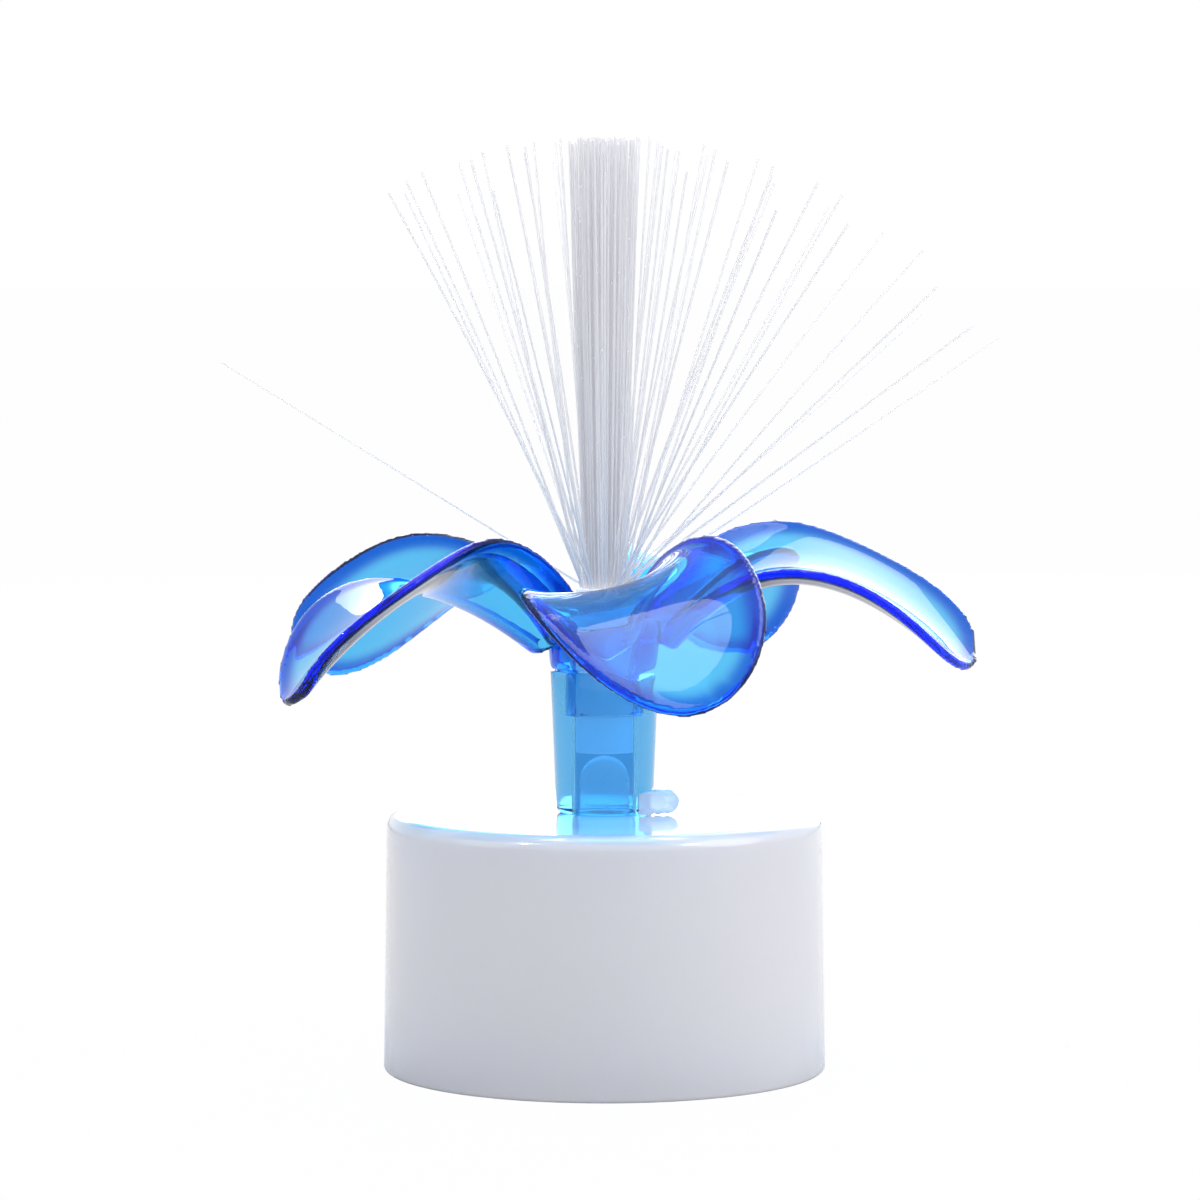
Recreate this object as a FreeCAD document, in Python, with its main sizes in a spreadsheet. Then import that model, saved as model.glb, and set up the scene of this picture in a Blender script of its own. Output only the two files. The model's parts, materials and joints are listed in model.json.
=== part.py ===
# Table lamp with a spray of optical fibres over a five-petal flower, in millimetres.
# +Z is up. The origin is the middle of the face that the base stands on, -Y is the front.
import FreeCAD, Part
import math
import os
import re
import Sketcher

os.makedirs("parts", exist_ok=True)
doc = FreeCAD.newDocument("fibre_lamp")
Vector = FreeCAD.Vector

# Driving dimensions, by piece
SIZES = {
    # base shell
    "base_bottom_radius": 22.5,
    "base_top_radius": 22.15,
    "base_height": 26.2,
    "base_shoulder": 1.5,
    "base_wall": 1.6,
    "lip_wall": 1.3,
    "top_wall": 1.8,
    # bottom cover
    "cover_recess": 0.8,
    "cover_thickness": 2.0,
    "cover_gap": 0.15,
    "cover_ledge": 0.6,
    "boss_radius": 2.2,
    "boss_inset": 0.75,
    "boss_angle": 30.0,
    "screw_radius": 0.95,
    "screw_fit": 0.05,
    "screw_head_radius": 1.8,
    "screw_head_height": 1.0,
    "screw_length": 7.0,
    "pilot_floor": 0.8,
    # cells and their trough
    "cell_radius": 5.8,
    "cell_thickness": 5.4,
    "cell_cap_radius": 4.7,
    "cell_cap_height": 0.3,
    "cell_room": 0.3,
    "contact_room": 1.9,
    "contact_thickness": 0.3,
    "contact_width": 6.0,
    "contact_gap": 0.05,
    "trough_y": -5.0,
    "trough_wall": 1.2,
    # battery door
    "door_thickness": 1.2,
    "door_margin": 1.3,
    "door_gap": 0.15,
    "door_corner": 2.5,
    "door_tab": 5.6,
    "door_screw_room": 0.6,
    "door_boss_height": 5.0,
    # circuit board
    "board_length": 17.0,
    "board_width": 12.0,
    "board_thickness": 1.2,
    "post_height": 1.4,
    "post_radius": 1.3,
    # light emitting diode
    "led_radius": 2.5,
    "led_flange_radius": 2.9,
    "led_flange_height": 1.0,
    "led_height": 8.6,
    "led_fit": 0.1,
    "leg_radius": 0.25,
    "leg_pitch": 2.54,
    "leg_tail": 0.5,
    "leg_fit": 0.15,
    # resistor
    "resistor_radius": 0.9,
    "resistor_length": 3.6,
    "resistor_pitch": 6.0,
    "resistor_lift": 0.1,
    # slide switch
    "switch_y": 11.0,
    "switch_length": 8.6,
    "switch_width": 3.6,
    "switch_height": 3.4,
    "switch_wall": 0.5,
    "switch_travel": 2.0,
    "knob_length": 1.8,
    "knob_width": 1.4,
    "knob_gap": 0.15,
    "knob_reach": 0.5,
    "pin_width": 0.6,
    "pin_height": 2.4,
    "pin_pitch": 2.0,
    # wires
    "wire_radius": 0.5,
    "wire_bend": 2.5,
    "wire_start_lift": 0.7,
    "wire_end_inset": 1.5,
    "wire_end_gap": 0.05,
    "red_wire_reach": 4.5,
    "red_wire_step": 4.0,
    "black_wire_reach": 2.0,
    "black_wire_step": 3.0,
    "pin_joint_drop": 0.6,
    "switch_wire_rise": 3.0,
    "switch_wire_inset": 1.2,
    # stem tube
    "stem_height": 14.5,
    "stem_top_radius": 5.5,
    "stem_foot_radius": 4.9,
    "stem_bore_radius": 3.0,
    "stem_foot_round": 0.6,
    "mouth_radius": 4.0,
    "mouth_depth": 4.5,
    # adhesive bead
    "bead_radius": 1.45,
    "bead_length": 4.4,
    "bead_sag": 0.1,
    # flower
    "neck_fit": 0.08,
    "neck_bore_radius": 2.95,
    "neck_rise": 5.6,
    "neck_shoulder": 0.6,
    "flare_radius": 5.6,
    "petal_wall": 1.3,
    "petal_width": 10.6,
    "petal_root_width": 3.4,
    "petal_widest": 0.54,
    "petal_root_radius": 4.8,
    "petal_root_rise": 4.3,
    "petal_arch_reach": 18.2,
    "petal_arch_rise": 18.8,
    "petal_droop_reach": 27.7,
    "petal_droop_rise": 9.3,
    "petal_droop_sweep": 2.8,
    "petal_tip_reach": 36.3,
    "petal_tip_rise": 0.5,
    "petal_tip_sweep": 10.8,
    "petal_root_roll": 38.0,
    "petal_middle_roll": -20.0,
    "petal_tip_roll": 47.0,
    "petal_root_cup": 2.9,
    "petal_middle_cup": 3.4,
    "petal_tip_cup": 0.3,
    "first_petal_angle": -14.0,
    # fibre bundle and strands
    "ferrule_fit": 0.1,
    "ferrule_wall": 0.35,
    "ferrule_rise": 8.3,
    "led_clearance": 0.4,
    "strand_radius": 0.125,
    "strand_length": 46.0,
    "core_rings": 5.0,
    "core_pitch": 0.38,
    "core_splay": 1.9,
    "core_stagger": 0.225,
    "fan_lane_gap": 0.285,
    "fan_lane_step": 0.27,
    "fan_stagger": 0.3,
}

sizes = doc.addObject("Spreadsheet::Sheet", "sizes")
for row, (alias, number) in enumerate(SIZES.items(), start=1):
    sizes.set("A%d" % row, alias)
    sizes.set("B%d" % row, str(number))
    sizes.setAlias("B%d" % row, alias)
doc.recompute()


def size(alias):
    """Return a driving dimension as a number."""
    return float(sizes.get(alias))


def bound(formula):
    """Return a formula with each driving dimension written as a cell of the sheet."""
    return re.sub(r"[a-z]+(?:_[a-z]+)+", lambda word: "sizes." + word.group(0), formula)


def bind(thing, **formulas):
    """Tie properties of a thing to formulas of driving dimensions."""
    for name, formula in formulas.items():
        thing.setExpression(name, bound(formula))
    return thing


def place(thing, at=("0", "0", "0"), axis=(0, 0, 1)):
    """Put a thing's origin at a place given by three formulas, with its Z turned to an axis."""
    thing.Placement.Rotation = FreeCAD.Rotation(Vector(0, 0, 1), Vector(*axis))
    for letter, formula in zip("xyz", at):
        thing.setExpression("Placement.Base." + letter, bound(formula))
    return thing


def cylinder(name, radius, height, at=("0", "0", "0"), axis=(0, 0, 1)):
    """Add a cylinder that starts at a place and runs along an axis."""
    return place(bind(doc.addObject("Part::Cylinder", name), Radius=radius, Height=height), at, axis)


def cone(name, radius, end_radius, height, at=("0", "0", "0"), axis=(0, 0, 1)):
    """Add a cone that starts at a place and runs along an axis."""
    thing = bind(doc.addObject("Part::Cone", name), Radius1=radius, Radius2=end_radius, Height=height)
    return place(thing, at, axis)


def ball(name, radius, at=("0", "0", "0")):
    """Add a ball round a place."""
    return place(bind(doc.addObject("Part::Sphere", name), Radius=radius), at)


def box(name, length, width, height, at=("0", "0", "0")):
    """Add a box centred on a place in X and Y, standing on it in Z."""
    thing = bind(doc.addObject("Part::Box", name), Length=length, Width=width, Height=height)
    corner = ("(%s) - (%s) / 2" % (at[0], length), "(%s) - (%s) / 2" % (at[1], width), at[2])
    return place(thing, corner)


def fuse(name, *things):
    """Add the union of some things."""
    joined = doc.addObject("Part::MultiFuse", name)
    joined.Shapes = list(things)
    joined.Refine = True
    return joined


def cut(name, base, *tools):
    """Add a thing with others taken out of it."""
    result = doc.addObject("Part::Cut", name)
    result.Base = base
    result.Tool = tools[0] if len(tools) == 1 else fuse(name + "_tools", *tools)
    result.Refine = True
    return result


def round_edges(name, base, radius, chosen):
    """Add a copy of a thing with fillets on the edges that a test chooses."""
    doc.recompute()
    rounded = doc.addObject("Part::Fillet", name)
    rounded.Base = base
    edges = base.Shape.Edges
    rounded.Edges = [(i + 1, radius, radius) for i in range(len(edges)) if chosen(edges[i])]
    return rounded


def origin_plane(body, role):
    """Return one of a body's own origin planes."""
    return [feature for feature in body.Origin.OriginFeatures if feature.Role == role][0]


def turned_body(name, outline):
    """Add a body turned round Z from an outline of (radius, height) formulas."""
    body = doc.addObject("PartDesign::Body", name)
    sketch = body.newObject("Sketcher::SketchObject", name + "_outline")
    sketch.AttachmentSupport = [(origin_plane(body, "XZ_Plane"), "")]
    sketch.MapMode = "FlatFace"
    count = len(outline)
    # Loose first lines, which the constraints below put in place
    loose = [Vector(count + i, i, 0) for i in range(count + 1)]
    for start, end in zip(loose, loose[1:]):
        sketch.addGeometry(Part.LineSegment(start, end), False)
    for i in range(count):
        sketch.addConstraint(Sketcher.Constraint("Coincident", i, 2, (i + 1) % count, 1))
    for i, point in enumerate(outline):
        for kind, axis, formula in zip(("DistanceX", "DistanceY"), (-2, -1), point):
            if formula == "0":
                sketch.addConstraint(Sketcher.Constraint("PointOnObject", i, 1, axis))
            else:
                index = sketch.addConstraint(Sketcher.Constraint(kind, -1, 1, i, 1, 1.0 + i))
                sketch.setExpression("Constraints[%d]" % index, bound(formula))
    turned = body.newObject("PartDesign::Revolution", name + "_turned")
    turned.Profile = sketch
    turned.ReferenceAxis = (sketch, ["V_Axis"])
    turned.Angle = 360
    doc.recompute()
    return body


def circle_edge(radius, height):
    """Return a test for a level circle of a radius at a height."""
    def test(edge):
        curve = edge.Curve
        if not isinstance(curve, Part.Circle):
            return False
        return abs(curve.Radius - radius) < 0.01 and abs(curve.Center.z - height) < 0.01
    return test


def bent_wire(points, bend):
    """Return a path of straight runs joined by tangent arcs of one radius."""
    edges = []
    start = points[0]
    for before, corner, after in zip(points, points[1:], points[2:]):
        toward = (before - corner).normalize()
        away = (after - corner).normalize()
        half = toward.getAngle(away) / 2
        radius = min(bend, 0.45 * min((before - corner).Length, (after - corner).Length) * math.tan(half))
        reach = radius / math.tan(half)
        first = corner + toward * reach
        last = corner + away * reach
        inward = (toward + away).normalize()
        middle = corner + inward * (radius / math.sin(half) - radius)
        edges.append(Part.LineSegment(start, first).toShape())
        edges.append(Part.Arc(first, middle, last).toShape())
        start = last
    edges.append(Part.LineSegment(start, points[-1]).toShape())
    return Part.Wire(edges)


def swept_round(path, radius):
    """Return a round rod swept along a path."""
    start = path.Vertexes[0].Point
    direction = path.Edges[0].tangentAt(path.Edges[0].FirstParameter)
    ring = Part.Wire([Part.Circle(start, direction, radius).toShape()])
    return path.makePipeShell([ring], True, False)


def shaped(name, shape):
    """Add a piece whose shape is worked out here from the sheet's sizes."""
    piece = doc.addObject("Part::Feature", name)
    piece.Shape = shape
    return piece


pieces = []


def finished(thing, label):
    """Name a finished piece and list it for writing."""
    thing.Label = label
    pieces.append(thing)
    return thing


# Radii and heights that more than one piece uses
LIP_RADIUS = "base_bottom_radius - lip_wall"
CAVITY_FOOT_RADIUS = LIP_RADIUS + " - cover_ledge"
CAVITY_TOP_RADIUS = "base_top_radius - base_wall"
BOSS_CIRCLE = "(" + CAVITY_TOP_RADIUS + " - boss_radius - boss_inset)"
COVER_TOP = "cover_recess + cover_thickness"
CELL_LEVEL = "cover_recess + door_thickness + cell_room + cell_radius"
TROUGH_INNER_LENGTH = "3 * cell_thickness + 2 * contact_room"
TROUGH_INNER_WIDTH = "2 * (cell_radius + cell_room)"
TROUGH_TOP = CELL_LEVEL + " + cell_radius + cell_room + trough_wall"
BOARD_BOTTOM = TROUGH_TOP + " + post_height"
BOARD_TOP = BOARD_BOTTOM + " + board_thickness"
CEILING = "base_height - top_wall"
LED_FOOT = CEILING + " - led_flange_height"
STEM_TOP = "base_height + stem_height"


def boss_places():
    """Return the X and Y formulas of the three cover screws."""
    spots = []
    for turn in (0, 120, 240):
        angle = "(boss_angle + %d)" % turn
        spots.append((BOSS_CIRCLE + " * cos(%s * 1 deg)" % angle, BOSS_CIRCLE + " * sin(%s * 1 deg)" % angle))
    return spots


# Base shell: a cup turned upside down, with a slight draft and a rounded shoulder
shell = turned_body("shell_cup", [
    (LIP_RADIUS, "0"),
    ("base_bottom_radius", "0"),
    ("base_top_radius", "base_height"),
    ("0", "base_height"),
    ("0", CEILING),
    (CAVITY_TOP_RADIUS, CEILING),
    (CAVITY_FOOT_RADIUS, COVER_TOP),
    (LIP_RADIUS, COVER_TOP),
])
shoulder = round_edges("shell_shoulder", shell, size("base_shoulder"),
                       circle_edge(size("base_top_radius"), size("base_height")))
bosses = []
pilots = []
for number, (boss_x, boss_y) in enumerate(boss_places(), start=1):
    boss_height = CEILING + " - (" + COVER_TOP + ") + 0.2 * top_wall"
    bosses.append(cylinder("shell_boss_%d" % number, "boss_radius", boss_height, (boss_x, boss_y, COVER_TOP)))
    pilots.append(cylinder("shell_pilot_%d" % number, "screw_radius + screw_fit", "screw_length",
                           (boss_x, boss_y, COVER_TOP)))
led_hole = cylinder("shell_led_hole", "led_radius + led_fit", "3 * top_wall", ("0", "0", CEILING + " - top_wall"))
shell_body = fuse("shell_body", shoulder, *bosses)
finished(cut("shell", shell_body, led_hole, *pilots), "base_shell")

# Bottom cover: a disc with the battery trough, door seat, switch slot, screw seats and board posts
disc = cylinder("cover_disc", LIP_RADIUS + " - cover_gap", "cover_thickness", ("0", "0", "cover_recess"))
trough = box("cover_trough", TROUGH_INNER_LENGTH + " + 2 * trough_wall", TROUGH_INNER_WIDTH + " + 2 * trough_wall",
             TROUGH_TOP + " - cover_recess", ("0", "trough_y", "cover_recess"))
DOOR_SCREW_Y = "trough_y + cell_radius + cell_room + trough_wall + screw_head_radius + door_screw_room"
door_boss = cylinder("cover_door_boss", "boss_radius", "cover_thickness + door_boss_height",
                     ("0", DOOR_SCREW_Y, "cover_recess"))
posts = []
for number, side in enumerate((-1, 1), start=1):
    posts.append(cylinder("cover_post_%d" % number, "post_radius", "post_height + trough_wall / 2",
                          ("%d * board_length / 3" % side, "trough_y + cell_radius / 2",
                           TROUGH_TOP + " - trough_wall / 2")))
cover_solid = fuse("cover_solid", disc, trough, door_boss, *posts)
cells_room = box("cover_cells_room", TROUGH_INNER_LENGTH, TROUGH_INNER_WIDTH,
                 TROUGH_TOP + " - trough_wall", ("0", "trough_y", "0"))
DOOR_LENGTH = "(" + TROUGH_INNER_LENGTH + ") + 2 * door_margin"
DOOR_WIDTH = "(" + TROUGH_INNER_WIDTH + ") + door_margin + door_tab"
DOOR_Y = "trough_y + (door_tab - door_margin) / 2"
door_seat = box("cover_door_seat", DOOR_LENGTH + " + 2 * door_gap", DOOR_WIDTH + " + 2 * door_gap",
                "door_thickness + cover_recess", ("0", DOOR_Y, "0"))
door_pilot = cylinder("cover_door_pilot", "screw_radius + screw_fit", "cover_thickness + door_boss_height - pilot_floor",
                      ("0", DOOR_SCREW_Y, "cover_recess"))
knob_slot = box("cover_knob_slot", "knob_length + switch_travel + 2 * knob_gap", "knob_width + 2 * knob_gap",
                "3 * cover_thickness", ("0", "switch_y", "0"))
screw_holes = []
for number, (boss_x, boss_y) in enumerate(boss_places(), start=1):
    screw_holes.append(cylinder("cover_hole_%d" % number, "screw_radius + 4 * screw_fit", "3 * cover_thickness",
                                (boss_x, boss_y, "0")))
    screw_holes.append(cylinder("cover_sink_%d" % number, "screw_head_radius + 4 * screw_fit",
                                "cover_recess + screw_head_height", (boss_x, boss_y, "0")))
tail_slots = []
for side in (-1, 1):
    tail_slots.append(box("cover_tail_slot_%s" % ("left" if side < 0 else "right"), "3 * contact_thickness",
                          "contact_width / 2", "2 * trough_wall",
                          ("%d * ((%s) / 2 - 1.5 * contact_thickness)" % (side, TROUGH_INNER_LENGTH), "trough_y",
                           TROUGH_TOP + " - 1.5 * trough_wall")))
finished(cut("cover", cover_solid, cells_room, door_seat, door_pilot, knob_slot, *screw_holes, *tail_slots),
         "bottom_cover")


def screw(name, x, y, under_head, length):
    """Add a pan-headed screw whose head is below the level given and whose shank points up."""
    head = cylinder(name + "_head", "screw_head_radius", "screw_head_height",
                    (x, y, "(%s) - screw_head_height" % under_head))
    shank = cylinder(name + "_shank", "screw_radius", "(%s) - screw_radius" % length, (x, y, under_head))
    point = cone(name + "_point", "screw_radius", "screw_radius / 3", "screw_radius",
                 (x, y, "(%s) + (%s) - screw_radius" % (under_head, length)))
    slot = box(name + "_slot", "1.4 * screw_head_radius", "0.3 * screw_head_radius", "0.5 * screw_head_height",
               (x, y, "(%s) - screw_head_height" % under_head))
    cross = box(name + "_cross", "0.3 * screw_head_radius", "1.4 * screw_head_radius", "0.5 * screw_head_height",
                (x, y, "(%s) - screw_head_height" % under_head))
    return cut(name, fuse(name + "_blank", head, shank, point), slot, cross)


# Cover screws: three alike, up into the shell's bosses
cover_screws = [screw("cover_screw_%d" % (i + 1), x, y, "cover_recess + screw_head_height",
                      "screw_length - screw_head_height")
                for i, (x, y) in enumerate(boss_places())]
screw_group = doc.addObject("Part::Compound", "cover_screw_group")
screw_group.Links = cover_screws
finished(screw_group, "cover_screws")

# Battery door: a flat lid with rounded corners, a screw hole and a finger notch
door_plate = box("door_plate", DOOR_LENGTH, DOOR_WIDTH, "door_thickness", ("0", DOOR_Y, "cover_recess"))
door_round = round_edges("door_round", door_plate, size("door_corner"),
                         lambda edge: abs(edge.tangentAt(edge.FirstParameter).z) > 0.99)
door_hole = cylinder("door_hole", "screw_radius + 4 * screw_fit", "3 * door_thickness", ("0", DOOR_SCREW_Y, "0"))
door_sink = cylinder("door_sink", "screw_head_radius + 4 * screw_fit", "cover_recess + door_thickness / 2",
                     ("0", DOOR_SCREW_Y, "0"))
finger_notch = cylinder("door_notch", "door_corner", "cover_recess + door_thickness / 3",
                        ("0", DOOR_Y + " - (" + DOOR_WIDTH + ") / 2", "0"))
finished(cut("door", door_round, door_hole, door_sink, finger_notch), "battery_door")

# Door screw: its head lies in the door's sink
finished(screw("lid_screw", "0", DOOR_SCREW_Y, "cover_recess + door_thickness / 2", "door_boss_height"),
         "door_screw")

# Button cells: end to end along X, each a can with a smaller cap
for number in range(3):
    start_x = "%g * cell_thickness" % (number - 1.5)
    can = cylinder("cell_can_%d" % number, "cell_radius", "cell_thickness - cell_cap_height",
                   (start_x, "trough_y", CELL_LEVEL), (1, 0, 0))
    cap = cylinder("cell_cap_%d" % number, "cell_cap_radius", "2 * cell_cap_height",
                   (start_x + " + cell_thickness - 2 * cell_cap_height", "trough_y", CELL_LEVEL), (1, 0, 0))
    finished(fuse("cell_%d" % number, can, cap), "button_cell_%d" % (number + 1))


def cell_level():
    """Return the height of the cells' common axis."""
    return size("cover_recess") + size("door_thickness") + size("cell_room") + size("cell_radius")


def contact(side):
    """Return a sprung contact strip at one end of the trough: a back with a tail, bent up into a bowed tongue."""
    thickness = size("contact_thickness")
    width = size("contact_width")
    half_room = 1.5 * size("cell_thickness") + size("contact_room")
    level = cell_level()
    roof = level + size("cell_radius") + size("cell_room")
    tip = roof + 2 * size("trough_wall")
    back_x = half_room - thickness
    touch_x = 1.5 * size("cell_thickness") + size("contact_gap")
    foot = level - 0.65 * size("cell_radius")
    head = level + 0.6 * size("cell_radius")
    outline = [
        Vector(half_room, 0, tip), Vector(half_room, 0, foot), Vector(touch_x, 0, level),
        Vector(back_x - 2 * thickness, 0, head), Vector(back_x - thickness, 0, head),
        Vector(touch_x + thickness, 0, level), Vector(back_x, 0, foot + 4 * thickness), Vector(back_x, 0, tip),
    ]
    strip = Part.Face(Part.makePolygon(outline + outline[:1])).extrude(Vector(0, width, 0))
    for start in (-thickness, width * 2 / 3):
        beside_tail = Part.makeBox(4 * thickness, width / 3 + thickness, 3 * size("trough_wall"),
                                   Vector(half_room - 2 * thickness, start, roof - thickness / 3))
        strip = strip.cut(beside_tail)
    strip.translate(Vector(0, size("trough_y") - width / 2, 0))
    if side < 0:
        strip = strip.mirror(Vector(0, 0, 0), Vector(1, 0, 0))
    return strip


finished(shaped("contact_plus", contact(1)), "positive_contact")
finished(shaped("contact_minus", contact(-1)), "negative_contact")

# Circuit board on the trough's posts, with holes for the legs of the diode
board_plate = box("board_plate", "board_length", "board_width", "board_thickness", ("0", "0", BOARD_BOTTOM))
leg_holes = [cylinder("board_hole_%d" % i, "leg_radius + leg_fit", "3 * board_thickness",
                      ("%d * leg_pitch / 2" % side, "0", BOARD_BOTTOM + " - board_thickness"))
             for i, side in enumerate((-1, 1))]
finished(cut("board", board_plate, *leg_holes), "circuit_board")

# Diode: flange under the top wall, body up through the hole, dome in the stem's bore
flange = cylinder("led_flange", "led_flange_radius", "led_flange_height", ("0", "0", LED_FOOT))
barrel = cylinder("led_barrel", "led_radius", "led_height - led_radius", ("0", "0", LED_FOOT))
dome = ball("led_dome", "led_radius", ("0", "0", LED_FOOT + " + led_height - led_radius"))
finished(fuse("led_body", flange, barrel, dome), "led")

# The diode's two legs, down through the board
legs = [cylinder("leg_%d" % i, "leg_radius", "(%s) - (%s) + leg_tail" % (LED_FOOT, BOARD_BOTTOM),
                 ("%d * leg_pitch / 2" % side, "0", BOARD_BOTTOM + " - leg_tail"))
        for i, side in enumerate((-1, 1))]
leg_pair = doc.addObject("Part::Compound", "leg_pair")
leg_pair.Links = legs
finished(leg_pair, "led_legs")

# Resistor: a barrel along X over the board, on two bent wire ends
resistor_y = "-board_width / 3"
resistor_level = "(%s) + resistor_radius + resistor_lift" % BOARD_TOP
resistor_barrel = cylinder("resistor_barrel", "resistor_radius", "resistor_length",
                           ("-resistor_length / 2", resistor_y, resistor_level), (1, 0, 0))
resistor_lead = cylinder("resistor_lead", "leg_radius", "resistor_pitch",
                         ("-resistor_pitch / 2", resistor_y, resistor_level), (1, 0, 0))
resistor_feet = [cylinder("resistor_foot_%d" % i, "leg_radius", "resistor_radius + resistor_lift + leg_radius",
                          ("%d * resistor_pitch / 2" % side, resistor_y, BOARD_TOP))
                 for i, side in enumerate((-1, 1))]
finished(fuse("resistor_part", resistor_barrel, resistor_lead, *resistor_feet), "resistor")

# Slide switch on the cover: a can open below, its slider with a knob through the slot, and three pins
SWITCH_FLOOR = COVER_TOP
can_block = box("switch_can", "switch_length", "switch_width", "switch_height", ("0", "switch_y", SWITCH_FLOOR))
can_room = box("switch_room", "switch_length - 2 * switch_wall", "switch_width - 2 * switch_wall",
               "switch_height - switch_wall", ("0", "switch_y", SWITCH_FLOOR))
finished(cut("switch_case", can_block, can_room), "switch_housing")
slider_x = "-switch_travel / 2"
slider_block = box("slider_block", "switch_length - 2 * switch_wall - switch_travel - 2 * knob_gap",
                   "switch_width - 2 * switch_wall - 2 * knob_gap", "switch_height / 3",
                   (slider_x, "switch_y", SWITCH_FLOOR + " + knob_gap"))
knob = box("slider_knob", "knob_length", "knob_width", "cover_thickness + 2 * knob_gap + knob_reach",
           (slider_x, "switch_y", "cover_recess - knob_reach"))
finished(fuse("slider", slider_block, knob), "switch_slider")
pins = [box("switch_pin_%d" % i, "pin_width", "pin_width / 2", "pin_height",
            ("%d * pin_pitch" % side, "switch_y", SWITCH_FLOOR + " + switch_height"))
        for i, side in enumerate((-1, 0, 1))]
pin_group = doc.addObject("Part::Compound", "switch_pin_group")
pin_group.Links = pins
finished(pin_group, "switch_pins")


# Stem tube: thick walled, narrower at the foot, with a wider mouth for the flower's neck
stem = turned_body("stem_turned", [
    ("stem_bore_radius", "base_height"),
    ("stem_foot_radius", "base_height"),
    ("stem_top_radius", STEM_TOP),
    ("mouth_radius", STEM_TOP),
    ("mouth_radius", STEM_TOP + " - mouth_depth"),
    ("stem_bore_radius", STEM_TOP + " - mouth_depth"),
])
finished(round_edges("stem", stem, size("stem_foot_round"),
                     circle_edge(size("stem_foot_radius"), size("base_height"))), "stem_tube")

# Adhesive bead: a rounded drop lying on the base top against the stem's foot
BEAD_X = "stem_foot_radius - bead_radius"
BEAD_Y = "-stem_foot_radius / 2"
BEAD_Z = "base_height + bead_radius - bead_sag"
bead_rod = cylinder("bead_rod", "bead_radius", "bead_length - bead_radius", (BEAD_X, BEAD_Y, BEAD_Z), (1, 0, 0))
bead_end = ball("bead_end", "bead_radius", ("(%s) + bead_length - bead_radius" % BEAD_X, BEAD_Y, BEAD_Z))
bead_solid = fuse("bead_solid", bead_rod, bead_end)
bead_floor = box("bead_floor", "2 * base_top_radius", "2 * base_top_radius", "base_height", ("0", "0", "0"))
bead_stem = cone("bead_stem", "stem_foot_radius", "stem_top_radius", "stem_height", ("0", "0", "base_height"))
finished(cut("bead", bead_solid, bead_floor, bead_stem), "glue_bead")


def blend_three(first, middle, last, along):
    """Return a value that goes from first to last and is pulled toward middle between them."""
    return first * (1 - along) ** 2 + 2 * middle * along * (1 - along) + last * along ** 2


# Where the loft of a petal has its sections, as shares of its length, and how many petals there are
PETAL_STEPS = (0, 0.12, 0.25, 0.4, 0.55, 0.7, 0.82, 0.91, 0.965, 0.99)
PETALS = 5


def petal_half_width(along):
    """Return a petal's half width at a share of its length: swelling from the root, round at the tip."""
    root = size("petal_root_width")
    full = size("petal_width")
    widest = size("petal_widest")
    if along < widest:
        return root + (full - root) * math.sin(math.pi / 2 * along / widest)
    beyond = (along - widest) / (1 - widest)
    return full * math.sqrt(1 - beyond ** 2)


def petal_section(along):
    """Return a closed crescent across a petal, with round rims, at a share of its length."""
    seat = size("base_height") + size("stem_height")
    handles = [
        Vector(size("petal_root_radius"), 0, seat + size("petal_root_rise")),
        Vector(size("petal_arch_reach"), 0, seat + size("petal_arch_rise")),
        Vector(size("petal_droop_reach"), size("petal_droop_sweep"), seat + size("petal_droop_rise")),
        Vector(size("petal_tip_reach"), size("petal_tip_sweep"), seat + size("petal_tip_rise")),
    ]
    ridge = Part.BezierCurve()
    ridge.setPoles(handles)
    centre = ridge.value(along)
    forward = Vector(*ridge.tangent(along)[0])
    side = Vector(0, 0, 1).cross(forward).normalize()
    lift = forward.cross(side)
    roll = math.radians(blend_three(size("petal_root_roll"), size("petal_middle_roll"),
                                    size("petal_tip_roll"), along))
    across = side * math.cos(roll) + lift * math.sin(roll)
    up = lift * math.cos(roll) - side * math.sin(roll)
    half = petal_half_width(along)
    cup = blend_three(size("petal_root_cup"), size("petal_middle_cup"), size("petal_tip_cup"), along)
    cup = min(cup, 0.85 * half)
    wall = min(size("petal_wall"), half)
    bow = (half ** 2 + cup ** 2) / (2 * cup)
    opening = math.atan2(half, bow - cup)

    def at(radius, angle):
        return centre + across * (radius * math.sin(angle)) + up * (bow - cup - radius * math.cos(angle))

    inner = bow - wall / 2
    outer = bow + wall / 2
    rim = opening + wall / 2 / bow
    arcs = [
        Part.Arc(at(inner, -opening), at(inner, 0), at(inner, opening)),
        Part.Arc(at(inner, opening), at(bow, rim), at(outer, opening)),
        Part.Arc(at(outer, opening), at(outer, 0), at(outer, -opening)),
        Part.Arc(at(outer, -opening), at(bow, -rim), at(inner, -opening)),
    ]
    return Part.Wire([arc.toShape() for arc in arcs])


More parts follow.
